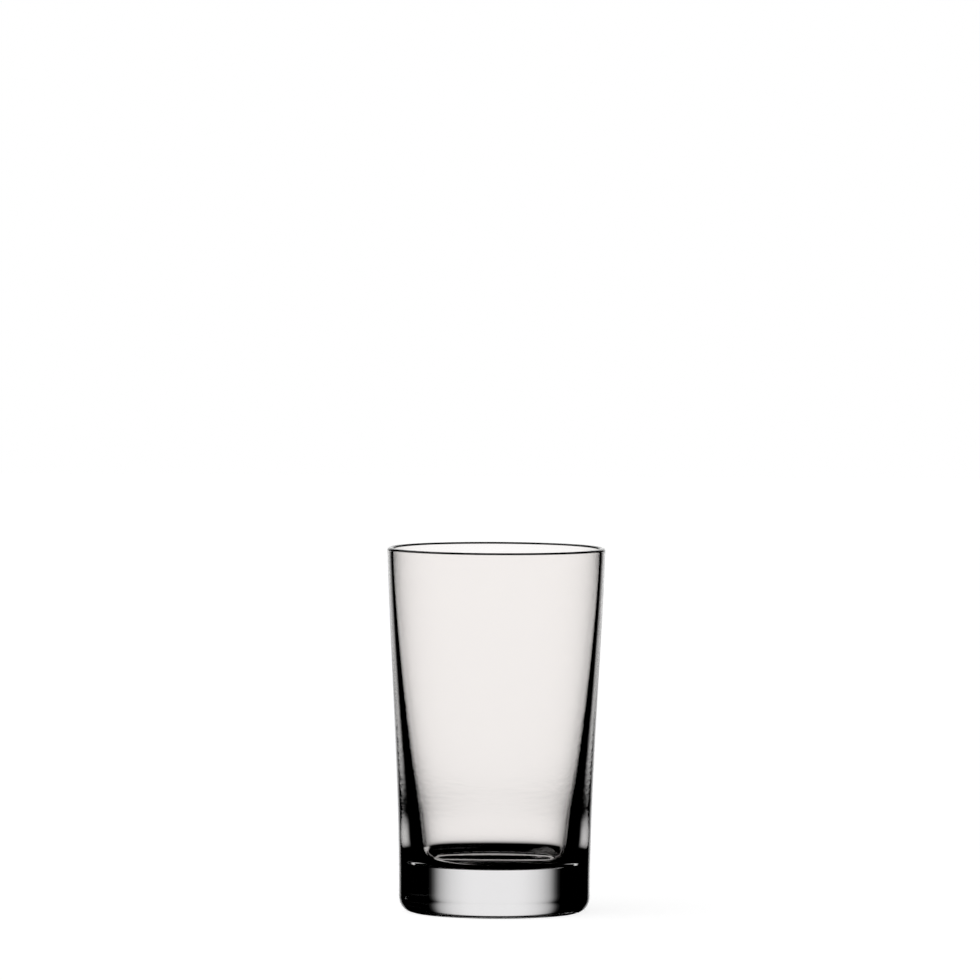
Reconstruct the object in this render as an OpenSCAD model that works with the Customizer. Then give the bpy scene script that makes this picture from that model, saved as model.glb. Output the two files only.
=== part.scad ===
// Juice glass: a tumbler in one piece of clear glass, with a gently curved side.
// The origin is the middle of the foot, at table level, and +Z points up.
// Every outline here is a half section, given as [radius, height] and turned about the Z axis.

/* [Outside] */
// Height from the table to the top of the rim
height = 118; // [100:1:140]
// Outside diameter of the side, carried up to the full height
rim_d = 70.6; // [67:0.1:80]
// Outward lean of the wall's two faces at the rim, from upright, in degrees
rim_lean = 1.9; // [1:0.1:4]
// Outside diameter where the side meets the heel
foot_d = 61.8; // [59:0.1:66]
// Height of the rounded heel
heel_h = 5.3; // [3:0.1:7]
// How far the heel draws in below the side
heel_w = 4.9; // [3:0.1:6]
// How full the heel is: 2 is an ellipse, more is squarer
heel_fullness = 2.2; // [1.8:0.1:3]

/* [Underside] */
// Width of the flat foot ring, from the heel in to the shallow hollow
ring_w = 3; // [1:0.1:8]
// Depth of the hollow at its middle
punt_h = 1.3; // [0.4:0.1:3]

/* [Inside] */
// Thickness of the solid base at its middle
base_t = 13.5; // [10:0.1:18]
// How far in from the side the flat floor ends and the rounded corner begins
floor_inset = 12.25; // [11.5:0.05:14]
// How far the middle of the floor dips below its edge
floor_dip = 0.5; // [0.1:0.05:1]
// Length over which the corner keeps the slope of the floor
floor_reach = 1.8; // [0.5:0.1:2.2]
// How far in from the side the corner's waist lies, between its floor half and its wall half
waist_inset = 9.65; // [9:0.05:10.5]
// Height of the waist over the floor's edge
waist_h = 1.05; // [0.8:0.05:2]
// Outward lean of the inside face at the waist, from upright, in degrees
waist_lean = 48.5; // [40:0.5:55]
// Length over which the corner keeps the waist's lean below the waist
waist_down = 1.1; // [0.6:0.1:1.3]
// Length over which the corner keeps the waist's lean above the waist
waist_up = 3.5; // [2:0.1:5]
// Thickness of the wall at the top of the corner, where the well meets the wall
well_wall = 6.3; // [5.5:0.05:7.5]
// Height of the top of the corner over the floor's edge
well_h = 18.7; // [16:0.05:22]
// Outward lean of the inside face at the top of the corner, from upright, in degrees
well_lean = 9; // [6:0.1:10]
// Length over which the corner keeps the well's lean below the top of the corner
well_down = 12.5; // [8:0.5:13]
// Length over which the wall keeps the well's lean above the top of the corner
well_up = 28.4; // [15:0.2:40]
// Length over which the wall keeps the rim's lean below the rim
rim_reach = 18; // [10:0.5:40]

/* [Rim] */
// Thickness of the wall at the melted, rounded rim
rim_t = 1.8; // [1.2:0.05:2.6]

/* [Hidden] */
$fn = 144;

glass_color = [0.93, 0.93, 0.92, 0.35];

// Steps of each curved stretch of the outline
punt_steps = 6;
heel_steps = 14;
side_steps = 12;
lip_steps = 12;
wall_steps = 20;
corner_steps = 14;
floor_steps = 4;

rim_r = rim_d / 2;
foot_r = foot_d / 2;
punt_r = foot_r - heel_w - ring_w;
floor_z = base_t + floor_dip + punt_h;

// Point at share t of a cubic curve with end points a, d and handles b, c
function cubic(a, b, c, d, t) =
    pow(1 - t, 3) * a + 3 * pow(1 - t, 2) * t * b + 3 * (1 - t) * t * t * c + pow(t, 3) * d;

// Direction up a face that leans outward from upright
function way_up(lean) = [sin(lean), cos(lean)];

// Radius of the side at height z: one curve that leaves the heel upright and leans out to the rim
side_h = height - heel_h;
handle_r = rim_r - side_h / 3 * tan(rim_lean);
function side_r(z) = cubic(foot_r, foot_r, handle_r, rim_r, (z - heel_h) / side_h);

// Underside: a shallow dished hollow, then the flat foot ring that touches the table
punt = [
    for (i = [0 : punt_steps])
        let (share = i / punt_steps)
        [punt_r * share, punt_h * (1 - share * share)]
];

// Heel: a rounded corner from the foot ring up to the side
heel = [
    for (i = [0 : heel_steps])
        let (a = 90 * (1 - i / heel_steps), power = 2 / heel_fullness)
        [foot_r - heel_w * (1 - pow(cos(a), power)), heel_h * (1 - pow(sin(a), power))]
];

// Rim: a half circle across the wall, from the outside over the top to the inside
lip_r = rim_t / 2;
lip_z = height - lip_r;
lip_mid_r = side_r(lip_z) - lip_r / cos(rim_lean);
lip = [
    for (i = [0 : lip_steps])
        let (a = 180 * i / lip_steps - rim_lean)
        [lip_mid_r + lip_r * cos(a), lip_z + lip_r * sin(a)]
];

// Side: from the heel up to the rim
side = [
    for (i = [1 : side_steps - 1])
        let (z = heel_h + (lip_z - heel_h) * i / side_steps)
        [side_r(z), z]
];

// Inside: three smooth curves from the rim to the floor. The wall thickens on its way down, then
// rounds in like a bowl, above the waist and below it
rim_end = lip[lip_steps];
well_end = [side_r(floor_z + well_h) - well_wall, floor_z + well_h];
waist = [side_r(floor_z + waist_h) - waist_inset, floor_z + waist_h];
floor_r = side_r(floor_z) - floor_inset;
floor_end = [floor_r, floor_z];
floor_way = [floor_r, 2 * floor_dip] / norm([floor_r, 2 * floor_dip]);
wall = [
    for (i = [1 : wall_steps])
        cubic(rim_end, rim_end - rim_reach * way_up(rim_lean),
              well_end + well_up * way_up(well_lean), well_end, i / wall_steps)
];
corner_top = [
    for (i = [1 : corner_steps])
        cubic(well_end, well_end - well_down * way_up(well_lean),
              waist + waist_up * way_up(waist_lean), waist, i / corner_steps)
];
corner_foot = [
    for (i = [1 : corner_steps])
        cubic(waist, waist - waist_down * way_up(waist_lean),
              floor_end + floor_reach * floor_way, floor_end, i / corner_steps)
];

// Floor of the well, dipping slightly to the middle
well_floor = [
    for (i = [1 : floor_steps])
        let (share = 1 - i / floor_steps)
        [floor_r * share, floor_z - floor_dip * (1 - share * share)]
];

module tumbler() {
    color(glass_color)
        rotate_extrude()
            polygon(concat(punt, heel, side, lip, wall, corner_top, corner_foot, well_floor));
}

tumbler();
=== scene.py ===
"""Juice glass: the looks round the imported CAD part.

The clear glass is turned from the same named sizes as the CAD part, with a finer outline, because
facets that no one sees on a dull part show at once through clear glass. Everything else here is the
studio: a white card behind the glass, dark sides that draw its edges, and a pale floor.
"""

import math

import bpy
from mathutils import Matrix, Vector


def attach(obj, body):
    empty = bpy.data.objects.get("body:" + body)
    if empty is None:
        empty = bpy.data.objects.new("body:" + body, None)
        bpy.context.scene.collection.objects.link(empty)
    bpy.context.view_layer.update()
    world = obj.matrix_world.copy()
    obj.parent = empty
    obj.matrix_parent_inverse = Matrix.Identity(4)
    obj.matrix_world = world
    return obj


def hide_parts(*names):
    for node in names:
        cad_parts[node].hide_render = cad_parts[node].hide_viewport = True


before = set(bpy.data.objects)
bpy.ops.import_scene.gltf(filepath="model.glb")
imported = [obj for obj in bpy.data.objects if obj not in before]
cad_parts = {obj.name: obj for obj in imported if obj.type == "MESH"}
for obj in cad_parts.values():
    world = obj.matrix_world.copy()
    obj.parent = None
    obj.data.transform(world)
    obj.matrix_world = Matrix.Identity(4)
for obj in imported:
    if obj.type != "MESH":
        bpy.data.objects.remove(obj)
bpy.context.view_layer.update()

MM = 0.001

# Sizes of the glass, in millimetres, under the names that the CAD part gives them
HEIGHT = 118.0
RIM_R = 35.3
RIM_LEAN = math.radians(1.9)
FOOT_R = 30.9
HEEL_H = 5.3
HEEL_W = 4.9
HEEL_FULLNESS = 2.2
RING_W = 3.0
PUNT_H = 1.3
BASE_T = 13.5
FLOOR_INSET = 12.25
FLOOR_DIP = 0.5
FLOOR_Z = BASE_T + FLOOR_DIP + PUNT_H
FLOOR_REACH = 1.8
WAIST_INSET = 9.65
WAIST_H = 1.05
WAIST_LEAN = math.radians(48.5)
WAIST_DOWN = 1.1
WAIST_UP = 3.5
WELL_WALL = 6.3
WELL_H = 18.7
WELL_LEAN = math.radians(9.0)
WELL_DOWN = 12.5
WELL_UP = 28.4
RIM_T = 1.8
RIM_REACH = 18.0

# Steps of the lathed mesh
TURN_STEPS = 384
PUNT_STEPS = 10
HEEL_STEPS = 40
SIDE_STEPS = 48
LIP_STEPS = 40
WALL_STEPS = 90
CORNER_STEPS = 60
FLOOR_STEPS = 20


def cubic(a, b, c, d, t):
    """Point at share t of a cubic curve with end points a, d and handles b, c."""
    return (1 - t) ** 3 * a + 3 * (1 - t) ** 2 * t * b + 3 * (1 - t) * t * t * c + t ** 3 * d


def side_r(z):
    """Radius of the gently curved outside face at height z. It leaves the heel upright."""
    side_h = HEIGHT - HEEL_H
    handle = RIM_R - side_h / 3 * math.tan(RIM_LEAN)
    return cubic(FOOT_R, FOOT_R, handle, RIM_R, (z - HEEL_H) / side_h)


def way_up(lean):
    """Direction up a face that leans outward from upright."""
    return Vector((math.sin(lean), math.cos(lean)))


def curve(start, first, second, end, steps):
    """Points of a cubic curve after its start. The two handles are given from its two ends."""
    return [cubic(start, start + first, end + second, end, i / steps) for i in range(1, steps + 1)]


def underside():
    """The shallow dished hollow, from the axis out to the flat foot ring."""
    punt_r = FOOT_R - HEEL_W - RING_W
    shares = [i / PUNT_STEPS for i in range(PUNT_STEPS + 1)]
    return [Vector((punt_r * share, PUNT_H * (1 - share ** 2))) for share in shares]


def heel():
    """The rounded corner from the foot ring up to the side."""
    points = []
    for i in range(HEEL_STEPS + 1):
        a = math.pi / 2 * (1 - i / HEEL_STEPS)
        across = max(math.cos(a), 0.0) ** (2 / HEEL_FULLNESS)
        down = max(math.sin(a), 0.0) ** (2 / HEEL_FULLNESS)
        points.append(Vector((FOOT_R - HEEL_W * (1 - across), HEEL_H * (1 - down))))
    return points


def side_and_lip():
    """The outside face up to the rim, and the rim's half circle over to the inside."""
    lip_r = RIM_T / 2
    lip_z = HEIGHT - lip_r
    lip_mid = side_r(lip_z) - lip_r / math.cos(RIM_LEAN)
    points = []
    for i in range(1, SIDE_STEPS):
        z = HEEL_H + (lip_z - HEEL_H) * i / SIDE_STEPS
        points.append(Vector((side_r(z), z)))
    for i in range(LIP_STEPS + 1):
        a = math.pi * i / LIP_STEPS - RIM_LEAN
        points.append(Vector((lip_mid + lip_r * math.cos(a), lip_z + lip_r * math.sin(a))))
    return points


def inside(rim_end):
    """The inside face from the rim down to the axis: the wall, the rounded corner and the floor."""
    well_z = FLOOR_Z + WELL_H
    well = Vector((side_r(well_z) - WELL_WALL, well_z))
    waist_z = FLOOR_Z + WAIST_H
    waist = Vector((side_r(waist_z) - WAIST_INSET, waist_z))
    floor_r = side_r(FLOOR_Z) - FLOOR_INSET
    floor_edge = Vector((floor_r, FLOOR_Z))
    floor_way = Vector((floor_r, 2 * FLOOR_DIP)).normalized()

    points = curve(rim_end, -RIM_REACH * way_up(RIM_LEAN), WELL_UP * way_up(WELL_LEAN), well, WALL_STEPS)
    points += curve(well, -WELL_DOWN * way_up(WELL_LEAN), WAIST_UP * way_up(WAIST_LEAN), waist, CORNER_STEPS)
    points += curve(waist, -WAIST_DOWN * way_up(WAIST_LEAN), FLOOR_REACH * floor_way, floor_edge,
                    CORNER_STEPS)
    for i in range(1, FLOOR_STEPS + 1):
        share = 1 - i / FLOOR_STEPS
        points.append(Vector((floor_r * share, FLOOR_Z - FLOOR_DIP * (1 - share ** 2))))
    return points


def glass_outline():
    """Half section of the glass: (radius, height) points from the middle of the foot round to the floor."""
    outside = underside() + heel() + side_and_lip()
    return outside + inside(outside[-1])


def lathe(name, outline, steps):
    """Closed smooth mesh turned round the Z axis. Both ends of the outline lie on the axis."""
    rings = outline[1:-1]
    verts = [(0.0, 0.0, outline[0].y * MM)]
    for p in rings:
        for k in range(steps):
            a = 2 * math.pi * k / steps
            verts.append((p.x * MM * math.cos(a), p.x * MM * math.sin(a), p.y * MM))
    verts.append((0.0, 0.0, outline[-1].y * MM))
    last = len(verts) - 1
    faces = []
    for k in range(steps):
        n = (k + 1) % steps
        faces.append((0, 1 + n, 1 + k))
        for j in range(len(rings) - 1):
            a, b = 1 + j * steps, 1 + (j + 1) * steps
            faces.append((a + k, a + n, b + n, b + k))
        top = 1 + (len(rings) - 1) * steps
        faces.append((last, top + k, top + n))
    mesh = bpy.data.meshes.new(name)
    mesh.from_pydata(verts, [], faces)
    mesh.polygons.foreach_set("use_smooth", [True] * len(mesh.polygons))
    mesh.update()
    obj = bpy.data.objects.new(name, mesh)
    bpy.context.scene.collection.objects.link(obj)
    return obj


class Nodes:
    """Short way to write a node tree."""

    def __init__(self, tree):
        self.tree = tree
        tree.nodes.clear()

    def add(self, kind, **settings):
        node = self.tree.nodes.new(kind)
        for key, value in settings.items():
            setattr(node, key, value)
        return node

    def link(self, source, target):
        self.tree.links.new(source, target)

    def math(self, operation, a, b=None):
        node = self.add("ShaderNodeMath", operation=operation)
        for socket, value in zip(node.inputs, (a, b)):
            if isinstance(value, (int, float)):
                socket.default_value = value
            elif value is not None:
                self.link(value, socket)
        return node.outputs[0]

    def step(self, value, start, end):
        """0 before start and 1 after end, with a smooth rise between them."""
        node = self.add("ShaderNodeMapRange", interpolation_type="SMOOTHSTEP", clamp=True)
        self.link(value, node.inputs["Value"])
        node.inputs["From Min"].default_value = start
        node.inputs["From Max"].default_value = end
        return node.outputs["Result"]

    def ramp(self, value, stops):
        """Level at value, straight between the (place, level) stops."""
        low, high = stops[0][0], stops[-1][0]
        place = self.add("ShaderNodeMapRange", clamp=True)
        self.link(value, place.inputs["Value"])
        place.inputs["From Min"].default_value = low
        place.inputs["From Max"].default_value = high
        node = self.add("ShaderNodeValToRGB")
        band = node.color_ramp
        while len(band.elements) < len(stops):
            band.elements.new(0.5)
        for element, (at, level) in zip(band.elements, stops):
            element.position = (at - low) / (high - low)
        for element, (at, level) in zip(band.elements, stops):
            element.color = (level, level, level, 1.0)
        self.link(place.outputs["Result"], node.inputs["Fac"])
        return node.outputs["Color"]


GLASS_IOR = 1.52
GLASS_TINT = (1.0, 0.980, 0.968, 1.0)
# What the body of the glass takes out of the light, per metre
BODY_TINT = (0.616, 0.636, 0.670, 1.0)
BODY_DENSITY = 9.0
# The share of the lamp's light that reaches the floor through each face
SHADOW_TINT = (0.72, 0.72, 0.72, 1.0)

# Faint ripples that the mould leaves in the lower half of the outside face
RIPPLE_RISE = 1.3 * MM
RIPPLE_RUN = 4.0 * MM
RIPPLE_DEPTH = 0.03 * MM
RIPPLE_START = (25 * MM, 36 * MM)
RIPPLE_END = (56 * MM, 80 * MM)
# The outside face lies farther out than this radius, which grows by this share of the height
OUTSIDE_R = 29.8 * MM
OUTSIDE_SLOPE = 0.02
# Slow waves in every face, left by the melted surface
WAVE_RUN = 26.0 * MM
WAVE_DEPTH = 0.03 * MM
# The foot ring is dull where it rubs on the table
WORN_BELOW = (0.02 * MM, 0.35 * MM)
WORN_ROUGHNESS = 0.18
WORN_SPECKLE = 0.5 * MM


def noise(n, place, run, rise, detail=2.0):
    """Noise from 0 to 1 whose lumps are about `run` across and `rise` high."""
    scale = n.add("ShaderNodeVectorMath", operation="MULTIPLY")
    n.link(place, scale.inputs[0])
    scale.inputs[1].default_value = (1 / run, 1 / run, 1 / rise)
    node = n.add("ShaderNodeTexNoise")
    node.inputs["Scale"].default_value = 1.0
    node.inputs["Detail"].default_value = detail
    n.link(scale.outputs["Vector"], node.inputs["Vector"])
    return node.outputs[0]


def face_bumps(n, place, radius, z):
    """Normal of the faces, with the mould's ripples and the slow waves."""
    edge = n.math("ADD", n.math("MULTIPLY", z, OUTSIDE_SLOPE), OUTSIDE_R)
    rippled = n.math("MULTIPLY", n.step(z, *RIPPLE_START), n.math("GREATER_THAN", radius, edge))
    rippled = n.math("MULTIPLY", rippled, n.math("SUBTRACT", 1.0, n.step(z, *RIPPLE_END)))
    ripples = n.math("MULTIPLY", noise(n, place, RIPPLE_RUN, RIPPLE_RISE), rippled)
    waves = n.math("MULTIPLY", noise(n, place, WAVE_RUN, WAVE_RUN, 0.0), WAVE_DEPTH / RIPPLE_DEPTH)
    bump = n.add("ShaderNodeBump")
    bump.inputs["Distance"].default_value = RIPPLE_DEPTH
    n.link(n.math("ADD", ripples, waves), bump.inputs["Height"])
    return bump.outputs["Normal"]


def foot_wear(n, place, z):
    """Roughness: none, but for a speckled dull ring where the glass stands."""
    worn = n.math("SUBTRACT", 1.0, n.step(z, *WORN_BELOW))
    speckle = noise(n, place, WORN_SPECKLE, WORN_SPECKLE)
    return n.math("MULTIPLY", n.math("MULTIPLY", worn, speckle), WORN_ROUGHNESS)


def clear_glass():
    """Clear soda glass. It lets lamp light through to the floor, so that its shadow stays soft."""
    material = bpy.data.materials.new("clear_glass")
    material.use_nodes = True
    n = Nodes(material.node_tree)
    place = n.add("ShaderNodeTexCoord").outputs["Object"]
    split = n.add("ShaderNodeSeparateXYZ")
    n.link(place, split.inputs["Vector"])
    x, y, z = split.outputs
    radius = n.math("SQRT", n.math("ADD", n.math("MULTIPLY", x, x), n.math("MULTIPLY", y, y)))

    shader = n.add("ShaderNodeBsdfPrincipled")
    shader.inputs["Base Color"].default_value = GLASS_TINT
    shader.inputs["Transmission Weight"].default_value = 1.0
    shader.inputs["IOR"].default_value = GLASS_IOR
    n.link(foot_wear(n, place, z), shader.inputs["Roughness"])
    n.link(face_bumps(n, place, radius, z), shader.inputs["Normal"])

    through = n.add("ShaderNodeBsdfTransparent")
    through.inputs["Color"].default_value = SHADOW_TINT
    path = n.add("ShaderNodeLightPath")
    mix = n.add("ShaderNodeMixShader")
    n.link(path.outputs["Is Shadow Ray"], mix.inputs["Fac"])
    n.link(shader.outputs["BSDF"], mix.inputs[1])
    n.link(through.outputs["BSDF"], mix.inputs[2])

    body = n.add("ShaderNodeVolumeAbsorption")
    body.inputs["Color"].default_value = BODY_TINT
    body.inputs["Density"].default_value = BODY_DENSITY
    out = n.add("ShaderNodeOutputMaterial")
    n.link(mix.outputs["Shader"], out.inputs["Surface"])
    n.link(body.outputs["Volume"], out.inputs["Volume"])
    return material


WHITE = (1.0, 1.0, 1.0, 1.0)
# A white card's level at each angle off its middle, in degrees
CARD_SIDE = ((0, 1.0), (8, 0.998), (10.3, 0.985), (12.8, 0.955), (15.7, 0.89), (18.7, 0.81), (21.8, 0.67),
             (25.2, 0.46), (27.1, 0.29), (29.1, 0.104), (31.1, 0.015), (33, 0.0))
# The studio as the glass sees it. Each bright patch has its heading, clockwise from straight behind the
# glass, then its level at each height over the horizon, all in degrees, and a share of the full width
# if it is narrower. First the white card behind the glass
BACK_CARD = (0, ((-18.8, 0.0), (-18.1, 0.02), (-17.4, 0.14), (-16.7, 0.31), (-16, 0.44), (-15.3, 0.58),
                 (-14.3, 0.73), (-13.3, 0.83), (-12.3, 0.89), (-11.3, 0.95), (-10.3, 0.985), (-8.8, 1.0),
                 (24, 1.0), (30, 0.0)))
# The card at its side, as the wall shows it and as the base alone does
SIDE_CARD = (-90, BACK_CARD[1])
SIDE_CARD_LOW = (-97, BACK_CARD[1], 0.62)
# The pale floor, seen straight through the glass
FAR_FLOOR = (135, ((-52, 0.0), (-48, 1.0), (45, 1.0), (50, 0.0)))
NEAR_FLOOR = (-45, ((-66, 0.0), (-60, 1.0), (-22, 1.0), (-20, 0.0)), 0.8)
# Pale surroundings over the horizon, seen by rays that were reflected inside the glass
NEAR_CARD = (-45, ((15, 0.0), (18, 1.0), (45, 1.0), (50, 0.0)))
FAR_CARD = (135, ((12, 0.0), (14, 0.3), (26, 0.3), (30, 0.0)))
CARD_LEVEL = 1.07
# The lower edge of the back card hangs this many degrees lower at CARD_HALF degrees off its middle
CARD_SAG = 5.0
CARD_HALF = 30.0
# The back card's share of its full width for rays that were reflected in the wall
TURNED_WIDTH = 0.85
# A ray that was reflected in the glass more often than this sees nothing bright
MOST_REFLECTIONS = 2
# Rays that were reflected and came through the wall see the back card only below these heights
WELL_TOP = (-6.0, -3.0)
# A ray through the base alone crosses this many faces, and one through the wall crosses more
BASE_CROSSINGS = 2
DEGREES = math.degrees(1.0)


def rise_of(n, axes):
    """Height of a ray's direction over the horizon, in degrees."""
    return n.math("MULTIPLY", n.math("ARCSINE", axes[2]), DEGREES)


def patch(n, axes, heading, levels, width=1.0, sag=0.0):
    """Level of one bright patch of the studio in the direction of a ray."""
    x, y = axes[:2]
    a = math.radians(heading)
    ahead = n.math("ADD", n.math("MULTIPLY", x, math.sin(a)), n.math("MULTIPLY", y, math.cos(a)))
    aside = n.math("SUBTRACT", n.math("MULTIPLY", x, math.cos(a)), n.math("MULTIPLY", y, math.sin(a)))
    turn = n.math("MULTIPLY", n.math("ARCTAN2", n.math("ABSOLUTE", aside), ahead), DEGREES / width)
    rise = rise_of(n, axes)
    if sag:
        rise = n.math("ADD", rise, n.math("MULTIPLY", n.math("MULTIPLY", turn, turn), sag / CARD_HALF ** 2))
    return n.math("MULTIPLY", n.ramp(turn, CARD_SIDE), n.ramp(rise, levels))


def ray_kinds(n, path):
    """1 or 0 for a ray that came straight, that was reflected inside, and that came through the wall."""
    few = n.math("LESS_THAN", path["Glossy Depth"], MOST_REFLECTIONS + 0.5)
    straight = n.math("LESS_THAN", path["Glossy Depth"], 0.5)
    turned = n.math("SUBTRACT", few, straight)
    through_wall = n.math("GREATER_THAN", path["Transmission Depth"], BASE_CROSSINGS + 0.5)
    return straight, turned, through_wall


def back_card(n, axes, straight, turned, through_wall):
    """The white card behind the glass."""
    plain = n.math("MULTIPLY", patch(n, axes, *BACK_CARD, sag=CARD_SAG), straight)
    reflected = n.math("MULTIPLY", patch(n, axes, *BACK_CARD, width=TURNED_WIDTH), turned)
    in_well = n.math("MULTIPLY", turned, through_wall)
    hidden = n.math("MULTIPLY", n.step(rise_of(n, axes), *WELL_TOP), in_well)
    return n.math("MULTIPLY", n.math("ADD", plain, reflected), n.math("SUBTRACT", 1.0, hidden))


def surroundings(n, axes, straight, turned, through_wall):
    """The card at the side, the floor, and the pale room beyond them."""
    through_base = n.math("SUBTRACT", 1.0, through_wall)
    side = n.math("ADD", n.math("MULTIPLY", patch(n, axes, *SIDE_CARD), through_wall),
                  n.math("MULTIPLY", patch(n, axes, *SIDE_CARD_LOW), through_base))
    floors = n.math("MAXIMUM", patch(n, axes, *NEAR_FLOOR), patch(n, axes, *FAR_FLOOR))
    cards = n.math("MAXIMUM", patch(n, axes, *NEAR_CARD), patch(n, axes, *FAR_CARD))
    return n.math("ADD", n.math("MULTIPLY", n.math("MAXIMUM", side, floors), straight),
                  n.math("MULTIPLY", cards, turned))


def studio_world():
    """White to the camera. The glass sees the card behind it, dark sides, and what is pale beyond them."""
    world = bpy.data.worlds.new("studio")
    bpy.context.scene.world = world
    world.use_nodes = True
    n = Nodes(world.node_tree)
    direction = n.add("ShaderNodeTexCoord").outputs["Generated"]
    split = n.add("ShaderNodeSeparateXYZ")
    n.link(direction, split.inputs["Vector"])
    axes = list(split.outputs)
    path = n.add("ShaderNodeLightPath").outputs

    kinds = ray_kinds(n, path)
    others = n.math("MULTIPLY", surroundings(n, axes, *kinds), path["Is Transmission Ray"])
    seen = n.math("MAXIMUM", path["Is Glossy Ray"], path["Is Transmission Ray"])
    level = n.math("MAXIMUM", back_card(n, axes, *kinds), others)
    level = n.math("MULTIPLY", level, n.math("MULTIPLY", seen, CARD_LEVEL))
    level = n.math("ADD", level, path["Is Camera Ray"])
    background = n.add("ShaderNodeBackground")
    background.inputs["Color"].default_value = WHITE
    n.link(level, background.inputs["Strength"])
    out = n.add("ShaderNodeOutputWorld")
    n.link(background.outputs["Background"], out.inputs["Surface"])


# Width of the floor, in metres
FLOOR_SIZE = 6.0
FLOOR_GLOW = 0.80
FLOOR_COLOR = (0.80, 0.80, 0.80, 1.0)


def studio_floor():
    """Pale floor. Most of its level is its own, and the rest is lamp light that the glass shades."""
    bpy.ops.mesh.primitive_plane_add(size=FLOOR_SIZE)
    floor = bpy.context.object
    floor.name = "floor"
    floor.visible_transmission = False
    floor.visible_glossy = False
    material = bpy.data.materials.new("floor")
    material.use_nodes = True
    n = Nodes(material.node_tree)
    glow = n.add("ShaderNodeEmission")
    glow.inputs["Color"].default_value = WHITE
    glow.inputs["Strength"].default_value = FLOOR_GLOW
    lit = n.add("ShaderNodeBsdfDiffuse")
    lit.inputs["Color"].default_value = FLOOR_COLOR
    both = n.add("ShaderNodeAddShader")
    n.link(glow.outputs["Emission"], both.inputs[0])
    n.link(lit.outputs["BSDF"], both.inputs[1])
    out = n.add("ShaderNodeOutputMaterial")
    n.link(both.outputs["Shader"], out.inputs["Surface"])
    floor.data.materials.append(material)


# Place of the lamp, in metres, from the middle of the floor
LAMP_FROM = Vector((-0.35, -0.25, 1.0))
LAMP_SPREAD = math.radians(70)
LAMP_LEVEL = 1.0


def studio_lamp():
    """Wide soft light from overhead. It lights the floor only, so no lamp shows in the glass."""
    data = bpy.data.lights.new("overhead", "SUN")
    data.angle = LAMP_SPREAD
    data.energy = LAMP_LEVEL
    lamp = bpy.data.objects.new("overhead", data)
    bpy.context.scene.collection.objects.link(lamp)
    lamp.location = LAMP_FROM
    lamp.rotation_mode = "QUATERNION"
    lamp.rotation_quaternion = (-LAMP_FROM).to_track_quat("-Z", "Y")
    lamp.visible_glossy = False
    lamp.visible_transmission = False
    lamp.visible_camera = False


# Camera: the photograph's frame is PHOTO_SIZE pixels square, and the rim's centre is at RIM_PIXEL.
# CAMERA_BACK is its distance in millimetres, and CAMERA_DIP its height over the rim as an angle
PHOTO_SIZE = 980
RIM_PIXEL = (496.4, 547.45)
PIXELS_PER_MM = 3.097
CAMERA_BACK = 3700.0
CAMERA_DIP = math.radians(3.04)
CAMERA_ROLL = math.radians(0.33)
SENSOR = 36.0
CLIP_NEAR = 0.1
CLIP_FAR = 50.0


def photo_camera():
    """Camera at the photograph's place, a long way back and a little above the rim."""
    above = CAMERA_BACK * math.tan(CAMERA_DIP)
    focal_px = PIXELS_PER_MM * math.hypot(CAMERA_BACK, above)
    off_x = RIM_PIXEL[0] - PHOTO_SIZE / 2
    off_y = PHOTO_SIZE / 2 - RIM_PIXEL[1]
    flat_x = off_x * math.cos(CAMERA_ROLL) - off_y * math.sin(CAMERA_ROLL)
    flat_y = off_x * math.sin(CAMERA_ROLL) + off_y * math.cos(CAMERA_ROLL)
    yaw = math.atan2(flat_x, focal_px)
    pitch = -CAMERA_DIP - math.atan2(flat_y, focal_px)
    data = bpy.data.cameras.new("photo_camera")
    data.sensor_width = SENSOR
    data.lens = focal_px / PHOTO_SIZE * SENSOR
    data.clip_start = CLIP_NEAR
    data.clip_end = CLIP_FAR
    camera = bpy.data.objects.new("photo_camera", data)
    bpy.context.scene.collection.objects.link(camera)
    turn = (Matrix.Rotation(yaw, 4, "Z") @ Matrix.Rotation(math.pi / 2 + pitch, 4, "X")
            @ Matrix.Rotation(CAMERA_ROLL, 4, "Z"))
    place = Vector((0.0, -CAMERA_BACK, HEIGHT + above)) * MM
    camera.matrix_world = Matrix.Translation(place) @ turn
    bpy.context.scene.camera = camera


# Light meets many faces on its way through the base, so it may turn this often
MOST_TURNS = 24
MOST_GLOSSY_TURNS = 16


def light_paths():
    """Plain levels, and enough turns for light to come out of the glass."""
    scene = bpy.context.scene
    scene.view_settings.view_transform = "Standard"
    scene.cycles.max_bounces = MOST_TURNS
    scene.cycles.transmission_bounces = MOST_TURNS
    scene.cycles.glossy_bounces = MOST_GLOSSY_TURNS


glass = lathe("juice_glass", glass_outline(), TURN_STEPS)
glass.data.materials.append(clear_glass())
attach(glass, "root")
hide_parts("tumbler")

photo_camera()
studio_world()
studio_floor()
studio_lamp()
light_paths()
